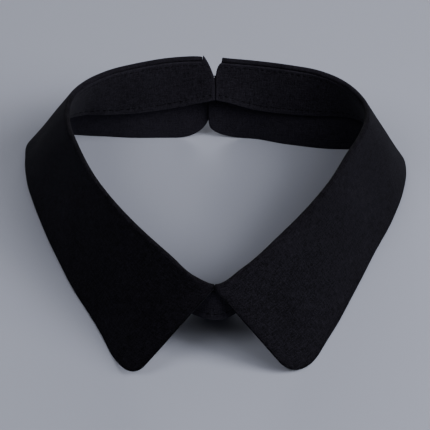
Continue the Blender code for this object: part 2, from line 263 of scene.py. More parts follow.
@dataclass
class ClothShell:
    """A grid of mid-wall points turned into cloth with two faces and a rounded, turned edge.

    The grid runs along the cloth and then across it. What the two faces do is told by distance from the
    nearest edge: a rounded edge, the swell of the turned allowance, and the ridge where that ends. The
    outward sign is -1 where the grid's own normal looks at the neck, and turns it away.
    """

    name: str
    grid: np.ndarray
    along: np.ndarray
    across: np.ndarray
    wall: float
    outward: int = 1
    edge_round: float = 0.5
    allowance: float = 6.6
    swell: float = 0.09
    ridge: float = 0.06
    grooves: list[Callable[[np.ndarray, np.ndarray], np.ndarray]] = field(default_factory=list)
    edge_sample: float = 0.08

    def normals(self) -> np.ndarray:
        """Unit normal of the mid-wall at every point of the grid, away from the neck."""
        one, other = np.gradient(self.grid, axis=0), np.gradient(self.grid, axis=1)
        normal = np.cross(one, other) * self.outward
        return normal / np.maximum(np.linalg.norm(normal, axis=2, keepdims=True), 1e-12)

    def rim(self) -> np.ndarray:
        """The grid's outline as one closed line, evenly and closely sampled."""
        g = self.grid
        loop = np.vstack([g[:, 0], g[-1, 1:], g[-2::-1, -1], g[0, -2::-1]])
        steps = np.linalg.norm(np.diff(loop, axis=0), axis=1)
        run = np.concatenate([[0.0], np.cumsum(steps)])
        keep = np.concatenate([[True], steps > 1e-9])
        at = np.arange(0.0, run[-1], self.edge_sample)
        return np.stack([np.interp(at, run[keep], loop[keep, k]) for k in range(3)], axis=1)

    def edge_distance(self) -> np.ndarray:
        """Distance of every grid point from the nearest edge of the cloth."""
        rim = self.rim()
        tree = kdtree.KDTree(len(rim))
        for index, point in enumerate(rim):
            tree.insert(point, index)
        tree.balance()
        flat = self.grid.reshape(-1, 3)
        found = np.array([tree.find(point)[2] for point in flat])
        return found.reshape(self.grid.shape[:2])

    def half_wall(self, distance: np.ndarray, inner: bool) -> np.ndarray:
        """Half of the wall's thickness: round at the edge, fuller over the turned allowance."""
        near = np.clip(distance / self.edge_round, 0, 1)
        half = np.sqrt(np.clip(1 - (1 - near) ** 2, 0, 1)) * self.wall / 2
        inside = 1 / (1 + np.exp((distance - self.allowance) / 0.45))
        half = half + self.swell * inside * near * (0.5 if inner else 0.35)
        if inner:
            half = half + self.ridge * np.exp(-(((distance - self.allowance) / 0.7) ** 2)) * near
        for groove in self.grooves:
            half = half - groove(self.along, self.across) * near
        return half

    def build(self, collection: bpy.types.Collection) -> bpy.types.Object:
        """Makes the closed mesh with its UV map in metres and its masks for painted shade and highlights.

        Args:
            collection: Where the object goes.

        Returns:
            The object, at the origin.
        """
        rows, cols = self.grid.shape[:2]
        normal, distance = self.normals(), self.edge_distance()
        outer = self.grid + normal * self.half_wall(distance, False)[..., None]
        inner = self.grid - normal * self.half_wall(distance, True)[..., None]
        index = np.arange(rows * cols).reshape(rows, cols)
        edge = np.zeros((rows, cols), bool)
        edge[0], edge[-1], edge[:, 0], edge[:, -1] = True, True, True, True
        outer[edge] = self.grid[edge]
        back = np.where(edge, index, -1)
        back[~edge] = rows * cols + np.arange((~edge).sum())
        points = np.vstack([outer.reshape(-1, 3), inner[~edge]]) * MM
        quads = [np.stack([a[:-1, :-1], a[1:, :-1], a[1:, 1:], a[:-1, 1:]], axis=-1).reshape(-1, 4)
                 for a in (index, back)]
        faces = np.vstack([quads[0], quads[1][:, ::-1]])
        points[:, 2] = np.maximum(points[:, 2], 0.0)
        mesh = bpy.data.meshes.new(self.name)
        mesh.from_pydata(points.tolist(), [], faces.tolist())
        both = np.concatenate([index.ravel(), index[~edge]])
        self.write_uv(mesh, both)
        # Mask for a painted highlight on the fold, faded out towards the front.
        fold_highlight_at_back = ease((self.grid[..., 1].ravel()[both] - 34.0) / 20.0)
        # rim: nearness to the edge, the mask for painted edge shade and highlights; inner face: the mask
        # for painted light on the inner face.
        shares = {"rim": np.exp(-distance.ravel()[both] / 0.7),
                  "fold": fold_highlight_at_back / (1 + np.exp((self.across.ravel()[both] - 5.2) / 0.6)),
                  "inner face": np.concatenate([np.where(edge.ravel(), 0.5, 0.0), np.ones((~edge).sum())])}
        for name, values in shares.items():
            mesh.attributes.new(name, "FLOAT", "POINT").data.foreach_set("value", values.astype(np.float32))
        face_outwards(mesh)
        mesh.shade_smooth()
        thing = bpy.data.objects.new(self.name, mesh)
        collection.objects.link(thing)
        return thing

    def write_uv(self, mesh: bpy.types.Mesh, source: np.ndarray) -> None:
        """Writes the cloth's own coordinates, in metres, as its UV map."""
        table = np.stack([self.along.ravel(), self.across.ravel()], axis=1)[source] * MM
        loops = np.empty(len(mesh.loops), np.int32)
        mesh.loops.foreach_get("vertex_index", loops)
        mesh.uv_layers.new(name="cloth").uv.foreach_set("vector", table[loops].astype(np.float32).ravel())


def face_outwards(mesh: bpy.types.Mesh) -> None:
    """Turns a closed mesh the right way out by the sign of its volume."""
    work = bmesh.new()
    work.from_mesh(mesh)
    if work.calc_volume(signed=True) < 0:
        bmesh.ops.reverse_faces(work, faces=work.faces)
    work.to_mesh(mesh)
    work.free()


@dataclass
class Leaf:
    """One half of the leaf: seam, roll and fall, between its nape end and the front centre."""

    neckline: Neckline
    sections: list[Section]
    side: Side
    wall: float = 1.0
    centre_gap: float = 0.06
    nape_reach: float = 0.42
    nape_line: float = -2.6
    nape_lap: float = 0.5
    nape_step: float = 0.3
    nape_meet: tuple[float, float] = (40.0, 21.0)
    nape_part: tuple[float, float] = (11.5, 4.0)
    nape_ease: float = 9.0
    fold_taper: float = 0.0
    taper_reach: float = 4.5
    tip_round: tuple[float, float] = (17.5, 13.8)
    nape_round: tuple[float, float] = (12.0, 11.5)
    station: float = 0.8
    roll_steps: int = 18
    fall_steps: int = 46
    waviness: float = 0.22
    cut: tuple[float, float] = (0.222, 0.054)
    cut_area: float = 0.0093

    def __post_init__(self) -> None:
        """Finds this half's own stretch of the neckline and its hem."""
        self.hem = columns(self.sections[1:], self.side, "hem_out", "hem_y", "hem_z")
        if self.side is Side.LEFT:
            own = self.neckline.length - self.neckline.knots[:len(WEARERS_RIGHT) - 2:-1]
        else:
            own = self.neckline.knots[:len(self.sections)]
        self.hem_line = SmoothTable(own[1:], self.hem)
        self.start = float(own[1]) - self.nape_reach
        self.end = float(own[-1]) - self.centre_gap / 2

    def along(self, own: float) -> float:
        """Distance along the whole neckline for a distance from this half's nape end."""
        return own if self.side is Side.RIGHT else self.neckline.length - own

    def stations(self) -> np.ndarray:
        """Distances of the sections, close together where the two corners are rounded."""
        first = self.start + self.nape_round[0] * turn_in(30)
        last = self.end - self.tip_round[0] * turn_in(46)[::-1]
        count = round((last[0] - first[-1]) / self.station)
        return np.concatenate([first, np.linspace(first[-1], last[0], count + 1)[1:-1], last])

    def fall_line(self, own: float) -> tuple[np.ndarray, np.ndarray]:
        """Both ends of the straight fall: where it leaves the roll, and the unrounded hem."""
        edge = self.hem_line.at(own)
        along = self.along(own)
        return self.neckline.on_roll(along, self.neckline.outer_angle(along, edge)), edge

    def fall_share(self, own: float, start: np.ndarray, edge: np.ndarray) -> float:
        """How far down the fall the cloth reaches: less than 1 where a corner is rounded away."""
        share = 1.0
        for distance, (reach, height) in ((own - self.start, self.nape_round),
                                          (self.end - own, self.tip_round)):
            if distance < reach:
                left = math.sqrt(max(0.0, 1 - ((reach - distance) / reach) ** 2))
                share = 1 - height / np.linalg.norm(edge - start) * (1 - left)
        return share

    def section(self, own: float) -> tuple[np.ndarray, np.ndarray]:
        """Mid-wall points of one section and their distances from the seam.

        Args:
            own: Distance from this half's nape end.

        Returns:
            The points, from the seam over the roll to the hem, and how far across the cloth each is.
        """
        along, line = self.along(own), self.neckline
        start, edge = self.fall_line(own)
        inner, outer = line.inner_angle(along), line.outer_angle(along, edge)
        seam, top = line.below_roll(along, line.seam_drop), line.on_roll(along, inner)
        lead = [seam + (top - seam) * share for share in turn_in(4)[:-1]]
        roll = [line.on_roll(along, angle) for angle in np.linspace(inner, outer, self.roll_steps + 1)]
        reach = self.fall_share(own, start, edge)
        length = float(np.linalg.norm(edge - start)) * reach
        turned = 0.75 * turn_in(6)[::-1]
        body = np.linspace(0, length - turned[0], self.fall_steps + 1)[1:]
        down = np.concatenate([body, length - turned[1:]])
        fall = [start + (edge - start) / np.linalg.norm(edge - start) * depth for depth in down]
        points = np.array(lead + roll + fall)
        across = np.concatenate([[0.0], np.cumsum(np.linalg.norm(np.diff(points, axis=0), axis=1))])
        return points, across

    def swing(self, grid: np.ndarray, own: np.ndarray) -> None:
        """Draws the nape end sideways, so that the two halves meet on one line below the stand."""
        start, edge = self.fall_line(self.start)
        height = grid[..., 2]
        straight = start[0] + (edge[0] - start[0]) * (start[2] - height) / (start[2] - edge[2])
        goal = self.nape_line - self.side.value * self.nape_lap / 2
        (high, low), (parted, bottom) = self.nape_meet, self.nape_part
        down = ease((high - height) / (high - low)) * ease((height - bottom) / (parted - bottom))
        near = 1 - ease((own - self.start) / self.nape_ease)
        grid[..., 0] += (goal - straight) * down * near
        grid[..., 1] -= self.side.value * self.nape_step * down * near

    def flatten_fold_end(self, grid: np.ndarray, own: np.ndarray) -> None:
        """Presses the roll down towards its seam over the last few millimetres before the nape end."""
        near = 1 - np.clip((own - self.start) / self.taper_reach, 0, 1)
        seam = grid[:, :1, 2]
        above = np.maximum(grid[..., 2] - seam, 0)
        grid[..., 2] -= above * self.fold_taper * near**2

    def ripple(self, grid: np.ndarray, own: np.ndarray, across: np.ndarray) -> np.ndarray:
        """Soft unevenness of pressed cloth, still at the seam and growing down the fall."""
        phase = 1.7 if self.side is Side.RIGHT else 4.1
        along, down = own, np.clip((across - 8.0) / 22.0, 0, 1)
        wave = (
            np.sin(along / 13.0 + phase) * np.sin(across / 17.0 + 0.6 * phase)
            + 0.5 * np.sin(along / 6.1 - across / 9.0 + 2.3 * phase)
            + 0.3 * np.sin(along / 3.7 + across / 7.3 + phase)
        )
        return self.waviness * wave * down

    def build(self, collection: bpy.types.Collection) -> bpy.types.Object:
        """Makes this half as a shell of cloth."""
        own = self.stations()
        rows = [self.section(distance) for distance in own]
        grid = np.array([points for points, _ in rows])
        across = np.array([row for _, row in rows])
        own_grid = np.repeat(own[:, None], grid.shape[1], axis=1)
        self.swing(grid, own_grid)
        self.flatten_fold_end(grid, own_grid)
        name = f"leaf_{self.side.name.lower()}_cloth"
        shell = ClothShell(name, grid, own_grid, across, self.wall, outward=self.side.value)
        shell.grid = grid + shell.normals() * self.ripple(grid, own_grid, across)[..., None]
        thing = shell.build(collection)
        node = f"leaf_{self.side.name.lower()}"
        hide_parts(node)
        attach(thing, BODY)
        return thing


@dataclass
class StandEnd:
    """A bare end of the stand past the leaf: its length, rise above the seam, and rounded corner."""

    reach: float
    rise: float
    drop: float
    power: float


@dataclass
class Stand:
    """The band that the leaves are sewn to, with its rows of topstitching."""

    neckline: Neckline
    wall: float = 1.1
    right_end: StandEnd = field(default_factory=lambda: StandEnd(4.8, 2.8, 10.8, 1.25))
    left_end: StandEnd = field(default_factory=lambda: StandEnd(3.0, 0.0, 8.4, 2.0))
    station: float = 0.62
    across_steps: int = 30
    upper_in: float = 1.5
    lower_in: float = 2.8
    end_in: float = 1.7
    groove: float = 0.17
    pucker: float = 0.07
    stitch_pitch: float = 2.5
    thread_sunk: float = 0.12
    button_from_end: float = 6.7
    button_share: float = 0.44
    dimple: tuple[float, float, float] = (0.75, 2.2, 0.30)
    cut: tuple[float, float] = (0.372, 0.0235)
    cut_area: float = 0.0076

    def stations(self) -> np.ndarray:
        """Distances of the sections, close together at the two bare ends."""
        first = self.right_end.reach * turn_in(18)
        last = self.neckline.length - self.left_end.reach * turn_in(18)[::-1]
        begin, finish = first[-1] + self.neckline.seam_gap, last[0] - self.neckline.seam_gap
        count = round((finish - begin) / self.station)
        return np.concatenate([first, np.linspace(begin, finish, count + 1), last])

    def top(self, along: float) -> float:
        """Distance below the seam at which the cloth starts: above it and rounded at a bare end."""
        for distance, end in ((along, self.right_end), (self.neckline.length - along, self.left_end)):
            if distance <= end.reach + 1e-9:
                left = (1 - max(0.0, 1 - distance / end.reach) ** end.power) ** (1 / end.power)
                return (1 - left) * end.drop - end.rise
        return 0.0

    def point(self, along: float, depth: float) -> np.ndarray:
        """A mid-wall point of the stand, a depth below its seam."""
        seam, down, _ = self.neckline.stand_line(along)
        return seam + down * depth

    def section(self, along: float) -> tuple[np.ndarray, np.ndarray]:
        """Mid-wall points of one section and their depths below the seam."""
        top, depth = self.top(along), self.neckline.stand_line(along)[2]
        turned = 0.7 * turn_in(5)
        body = np.linspace(top + turned[-1], depth - turned[-1], self.across_steps + 1)
        depths = np.concatenate([top + turned[:-1], body, depth - turned[-2::-1]])
        return np.array([self.point(along, value) for value in depths]), depths

    def stitch_groove(self, along: np.ndarray, depth: np.ndarray) -> np.ndarray:
        """How far the cloth's faces are drawn in along the stitch rows, with a pucker at each stitch."""
        full = np.array([self.neckline.stand_line(value)[2] for value in along[:, 0]])[:, None]
        rows = (depth - self.upper_in, depth - (full - self.lower_in))
        beat = 1 + 0.6 * np.cos(2 * math.pi * along / self.stitch_pitch)
        pull = sum(np.exp(-((row / 0.40) ** 2)) for row in rows)
        spread = sum(np.exp(-((row / 1.5) ** 2)) for row in rows)
        inset = np.minimum(along, self.neckline.length - along) > self.end_in
        return (self.groove * pull * beat + self.pucker * spread * (beat - 1)) * inset

    def button_dimple(self, along: np.ndarray, depth: np.ndarray) -> np.ndarray:
        """How far the faces are pulled in where the button is sewn on: narrow, upright and deep."""
        half_width, half_height, deep = self.dimple
        middle = self.neckline.stand_line(self.button_from_end)[2] * self.button_share
        across, up = (along - self.button_from_end) / half_width, (depth - middle) / half_height
        return deep * np.exp(-(across**2) - up**2)

    def row_points(self) -> list[list[tuple[float, float]]]:
        """The stitch rows as (along, depth) pairs: one below the seam, one above the edge, two upright."""
        first, last = self.end_in, self.neckline.length - self.end_in
        runs = np.arange(first, last, 1.0)
        upper = [(a, max(self.upper_in, self.top(a) + self.end_in)) for a in runs]
        lower = [(a, self.neckline.stand_line(a)[2] - self.lower_in) for a in runs]
        rows = [upper, lower]
        for a in (first, last):
            depth = self.neckline.stand_line(a)[2] - self.lower_in
            rows.append([(a, d) for d in np.arange(self.top(a) + self.end_in, depth, 1.0)] + [(a, depth)])
        return rows

    def face_point(self, along: float, depth: float, face: int) -> tuple[np.ndarray, np.ndarray]:
        """A point on one face of the stand and the way that the face looks."""
        a = np.clip(along, 0.4, self.neckline.length - 0.4)
        run = self.point(a + 0.4, depth) - self.point(a - 0.4, depth)
        down = self.neckline.stand_line(a)[1]
        facing = np.cross(run, down)
        facing *= face / np.linalg.norm(facing)
        return self.point(along, depth) + facing * (self.wall / 2 - self.thread_sunk), facing

    def build(self, collection: bpy.types.Collection) -> bpy.types.Object:
        """Makes the stand as a shell of cloth."""
        along = self.stations()
        rows = [self.section(value) for value in along]
        grid = np.array([points for points, _ in rows])
        depth = np.array([row for _, row in rows])
        along_grid = np.repeat(along[:, None], grid.shape[1], axis=1)
        shell = ClothShell("stand_cloth_band", grid, along_grid, depth, self.wall, outward=-1,
                           swell=0.04, ridge=0.0, grooves=[self.stitch_groove, self.button_dimple])
        thing = shell.build(collection)
        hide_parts("stand")
        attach(thing, BODY)
        return thing


def group_input(tree: bpy.types.NodeTree, name: str, kind: str, value: object = None) -> None:
    """Adds a named input socket to a node tree, with its default."""
    socket = tree.interface.new_socket(name=name, in_out="INPUT", socket_type=kind)
    if value is not None:
        socket.default_value = value


@dataclass
class StitchLayer:
    """Geometry Nodes tree that lays thread stitches along rows on a face of cloth."""

    pitch: float = 2.5
    stitch: float = 2.0
    thread: float = 0.15
    jitter: float = 0.12
    seed: int = 7

    def tree(self) -> bpy.types.NodeTree:
        """Builds the node tree."""
        tree = bpy.data.node_groups.new("laid stitches", "GeometryNodeTree")
        group_input(tree, "Rows", "NodeSocketGeometry")
        group_input(tree, "Spacing", "NodeSocketFloat", self.pitch * MM)
        group_input(tree, "Stitch Length", "NodeSocketFloat", self.stitch * MM)
        group_input(tree, "Thread Radius", "NodeSocketFloat", self.thread * MM)
        group_input(tree, "Jitter", "NodeSocketFloat", self.jitter)
        group_input(tree, "Seed", "NodeSocketInt", self.seed)
        group_input(tree, "Thread", "NodeSocketMaterial")
        tree.interface.new_socket(name="Stitches", in_out="OUTPUT", socket_type="NodeSocketGeometry")
        new, link = tree.nodes.new, tree.links.new
        given, out = new("NodeGroupInput"), new("NodeGroupOutput")
        curve = new("GeometryNodeMeshToCurve")
        resample = new("GeometryNodeResampleCurve")
        resample.mode = "LENGTH"
        link(given.outputs["Rows"], curve.inputs[0])
        link(curve.outputs[0], resample.inputs["Curve"])
        link(given.outputs["Spacing"], resample.inputs["Length"])
        ball = new("GeometryNodeMeshUVSphere")
        ball.inputs["Segments"].default_value = 8
        ball.inputs["Rings"].default_value = 6
        ball.inputs["Radius"].default_value = 1.0
        size = new("ShaderNodeCombineXYZ")
        half = new("ShaderNodeMath")
        half.operation = "MULTIPLY"
        half.inputs[1].default_value = 0.5
        link(given.outputs["Stitch Length"], half.inputs[0])
        link(half.outputs[0], size.inputs["X"])
        link(given.outputs["Thread Radius"], size.inputs["Y"])
        link(given.outputs["Thread Radius"], size.inputs["Z"])
        shape = new("GeometryNodeTransform")
        link(ball.outputs["Mesh"], shape.inputs["Geometry"])
        link(size.outputs[0], shape.inputs["Scale"])
        tangent = new("GeometryNodeInputTangent")
        facing = new("GeometryNodeInputNamedAttribute")
        facing.data_type = "FLOAT_VECTOR"
        facing.inputs["Name"].default_value = "facing"
        turn = new("FunctionNodeAxesToRotation")
        turn.primary_axis, turn.secondary_axis = "X", "Z"
        link(tangent.outputs[0], turn.inputs[0])
        link(facing.outputs["Attribute"], turn.inputs[1])
        spread = new("FunctionNodeRandomValue")
        spread.data_type = "FLOAT"
        low, high = new("ShaderNodeMath"), new("ShaderNodeMath")
        low.operation, high.operation = "SUBTRACT", "ADD"
        low.inputs[0].default_value = high.inputs[0].default_value = 1.0
        link(given.outputs["Jitter"], low.inputs[1])
        link(given.outputs["Jitter"], high.inputs[1])
        minimum = next(s for s in spread.inputs if s.name == "Min" and s.type == "VALUE")
        maximum = next(s for s in spread.inputs if s.name == "Max" and s.type == "VALUE")
        link(low.outputs[0], minimum)
        link(high.outputs[0], maximum)
        link(given.outputs["Seed"], spread.inputs["Seed"])
        instances = new("GeometryNodeInstanceOnPoints")
        link(resample.outputs[0], instances.inputs["Points"])
        link(shape.outputs[0], instances.inputs["Instance"])
        link(turn.outputs[0], instances.inputs["Rotation"])
        value = next(s for s in spread.outputs if s.name == "Value" and s.type == "VALUE")
        link(value, instances.inputs["Scale"])
        real, paint = new("GeometryNodeRealizeInstances"), new("GeometryNodeSetMaterial")
        link(instances.outputs[0], real.inputs[0])
        link(real.outputs[0], paint.inputs["Geometry"])
        link(given.outputs["Thread"], paint.inputs["Material"])
        link(paint.outputs[0], out.inputs[0])
        return tree

    def lay(self, stand: Stand, thread: bpy.types.Material,
            collection: bpy.types.Collection) -> bpy.types.Object:
        """Lays the stand's stitch rows on both of its faces.

        Args:
            stand: The stand that carries the rows.
            thread: The thread's material.
            collection: Where the object goes.

        Returns:
            One plain mesh of all the stitches.
        """
        points, edges, facings = [], [], []
        for face in (1, -1):
            for row in stand.row_points():
                begin = len(points)
                for along, depth in row:
                    place, facing = stand.face_point(along, depth, face)
                    points.append(place * MM)
                    facings.append(facing)
                edges += [(i, i + 1) for i in range(begin, len(points) - 1)]
        mesh = bpy.data.meshes.new("stitch_rows")
        mesh.from_pydata([list(p) for p in points], edges, [])
        mesh.attributes.new("facing", "FLOAT_VECTOR", "POINT").data.foreach_set(
            "vector", np.array(facings, np.float32).ravel())
        thing = bpy.data.objects.new("stand_stitches", mesh)
        collection.objects.link(thing)
        tree = self.tree()
        layer = thing.modifiers.new("stitches", "NODES")
        layer.node_group = tree
        values = {"Spacing": self.pitch * MM, "Stitch Length": self.stitch * MM,
                  "Thread Radius": self.thread * MM, "Jitter": self.jitter, "Seed": self.seed,
                  "Thread": thread}
        for item in tree.interface.items_tree:
            if item.item_type == "SOCKET" and item.in_out == "INPUT" and item.name in values:
                layer[item.identifier] = values[item.name]
        laid = settled_mesh(thing)
        thing.modifiers.clear()
        thing.data = laid
        laid.shade_smooth()
        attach(thing, BODY)
        return thing


def settled_mesh(thing: bpy.types.Object) -> bpy.types.Mesh:
    """The plain mesh that an object's modifiers make."""
    graph = bpy.context.evaluated_depsgraph_get()
    graph.update()
    return bpy.data.meshes.new_from_object(thing.evaluated_get(graph))


def turned_mesh(name: str, profile: list[tuple[float, float]], steps: int) -> bpy.types.Mesh:
    """A closed turned form about the Z axis, from a profile that starts and ends on it.

    Args:
        name: The mesh's name.
        profile: (radius, height) pairs in millimetres.
        steps: Points round the form.

    Returns:
        The mesh, in millimetres.
    """
    inner = profile[1:-1]
    angles = np.linspace(0, 2 * math.pi, steps, endpoint=False)
    points = [(0.0, 0.0, profile[0][1])]
    for radius, height in inner:
        points += [(radius * math.cos(a), radius * math.sin(a), height) for a in angles]
    points.append((0.0, 0.0, profile[-1][1]))
    last, faces = len(points) - 1, []
    for k in range(steps):
        j = (k + 1) % steps
        faces.append((0, 1 + j, 1 + k))
        for ring in range(len(inner) - 1):
            a, b = 1 + ring * steps, 1 + (ring + 1) * steps
            faces.append((a + k, a + j, b + j, b + k))
        end = 1 + (len(inner) - 1) * steps
        faces.append((end + k, end + j, last))
    mesh = bpy.data.meshes.new(name)
    mesh.from_pydata(points, [], faces)
    return mesh


def swept_tube(path: np.ndarray, radius: float, sides: int) -> tuple[np.ndarray, list[tuple[int, ...]]]:
    """A capped tube along a path, its rings carried along without twist.

    Args:
        path: Points of the centreline.
        radius: The tube's radius.
        sides: Points round it.

    Returns:
        Its points and faces.
    """
    tangent = np.gradient(path, axis=0)
    tangent /= np.linalg.norm(tangent, axis=1, keepdims=True)
    lead = np.cross(tangent[0], [0.0, 0.0, 1.0])
    if np.linalg.norm(lead) < 0.1:
        lead = np.cross(tangent[0], [1.0, 0.0, 0.0])
    rings = []
    for place, way in zip(path, tangent):
        lead = lead - way * (lead @ way)
        lead /= np.linalg.norm(lead)
        other = np.cross(way, lead)
        rings += [place + radius * (math.cos(a) * lead + math.sin(a) * other)
                  for a in np.linspace(0, 2 * math.pi, sides, endpoint=False)]
    faces: list[tuple[int, ...]] = []
    for ring in range(len(path) - 1):
        for k in range(sides):
            a, b, j = ring * sides, (ring + 1) * sides, (k + 1) % sides
            faces.append((a + k, a + j, b + j, b + k))
    faces.append(tuple(range(sides - 1, -1, -1)))
    faces.append(tuple(range((len(path) - 1) * sides, len(path) * sides)))
    return np.array(rings), faces


@dataclass
class Fastening:
    """The shank button and the thread loop that close the nape, on the stand's outer face."""

    stand: Stand
    from_end: float = 6.7
    down_share: float = 0.44
    radius: float = 4.2
    thick: float = 0.8
    lift: float = 0.92
    shank: float = 1.0
    seat: float = 0.4
    gap: float = 0.3
    loop: float = 0.3
    reach: float = 8.4
    sewn: float = 0.4
    steps: int = 48

    def place(self) -> Matrix:
        """Frame of the button on the stand: towards the wearer's right, up, and outwards."""
        line = self.stand.neckline

        def at(along: float, share: float) -> np.ndarray:
            """A mid-wall point of the stand at a share of its depth."""
            return self.stand.point(along, line.stand_line(along)[2] * share)

        here = at(self.from_end, self.down_share)
        along = Vector(at(self.from_end + 2, self.down_share) - here).normalized()
        up = Vector(at(self.from_end, self.down_share - 0.1) - here).normalized()
        out = along.cross(up).normalized()
        up = out.cross(along)
        place = Matrix((along, up, out)).transposed().to_4x4()
        place.translation = Vector(here) + out * self.seat
        return place

    def profile(self) -> list[tuple[float, float]]:
        """The button's turned outline: stem, underside, rounded rim and dished face."""
        under, over, r = self.lift, self.lift + self.thick, self.radius
        rim = [(r - 0.45 + 0.45 * math.cos(a), over - 0.45 + 0.45 * math.sin(a))
               for a in np.linspace(-0.9, math.pi / 2, 9)]
        dish = [(r - 0.45 - 1.1 * s, over - 0.4 * (0.5 - 0.5 * math.cos(math.pi * s)))
                for s in np.linspace(0.12, 1, 8)]
        foot = self.stand.wall / 2 - self.seat
        return ([(0.0, foot), (self.shank - 0.1, foot), (self.shank, foot + 0.12),
                 (self.shank, under - 0.12), (self.shank + 0.14, under), (r - 0.8, under)]
                + rim + dish + [(1.2, over - 0.42), (0.0, over - 0.42)])

    def build_button(self, collection: bpy.types.Collection) -> bpy.types.Object:
        """Makes the button."""
        mesh = turned_mesh("nape_button", self.profile(), self.steps)
        mesh.transform(Matrix.Scale(MM, 4) @ self.place())
        face_outwards(mesh)
        mesh.shade_smooth()
        thing = bpy.data.objects.new("nape_button", mesh)
        collection.objects.link(thing)
        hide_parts("back_button")
        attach(thing, BODY)
        return thing

    def build_loop(self, collection: bpy.types.Collection) -> bpy.types.Object:
        """Makes the loop of two twisted strands, from the other stand end round the stem."""
        around, height = self.shank + self.gap + self.loop, self.gap + self.loop
        turn = [(around * math.cos(a), around * math.sin(a))
                for a in np.linspace(-math.pi / 2, math.pi / 2, 25)]
        legs = [(x, around + (around - self.sewn) * x / self.reach)
                for x in np.linspace(-self.reach, 0, 30)[:-1]]
        route = [(x, -y) for x, y in legs] + turn + legs[::-1]
        path = np.array([(x, y, height) for x, y in route])
        run = np.concatenate([[0.0], np.cumsum(np.linalg.norm(np.diff(path, axis=0), axis=1))])
        fine = np.linspace(0, run[-1], 260)
        path = np.stack([np.interp(fine, run, path[:, k]) for k in range(3)], axis=1)
        tangent = np.gradient(path, axis=0)
        tangent /= np.linalg.norm(tangent, axis=1, keepdims=True)
        across = np.cross(tangent, [0.0, 0.0, 1.0])
        points, faces = [], []
        strand = self.loop / 2
        for phase in (0.0, math.pi):
            angle = fine * 2 * math.pi / 1.5 + phase
            shift = (np.cos(angle)[:, None] * across
                     + np.sin(angle)[:, None] * np.array([0.0, 0.0, 1.0])) * strand
            made, sides = swept_tube(path + shift, strand, 8)
            faces += [tuple(i + len(points) for i in face) for face in sides]
            points += made.tolist()
        mesh = bpy.data.meshes.new("nape_loop")
        mesh.from_pydata(points, [], faces)
        mesh.transform(Matrix.Scale(MM, 4) @ self.place())
        face_outwards(mesh)
        mesh.shade_smooth()
        thing = bpy.data.objects.new("nape_loop", mesh)
        collection.objects.link(thing)
        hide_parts("back_loop")
        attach(thing, BODY)
        return thing


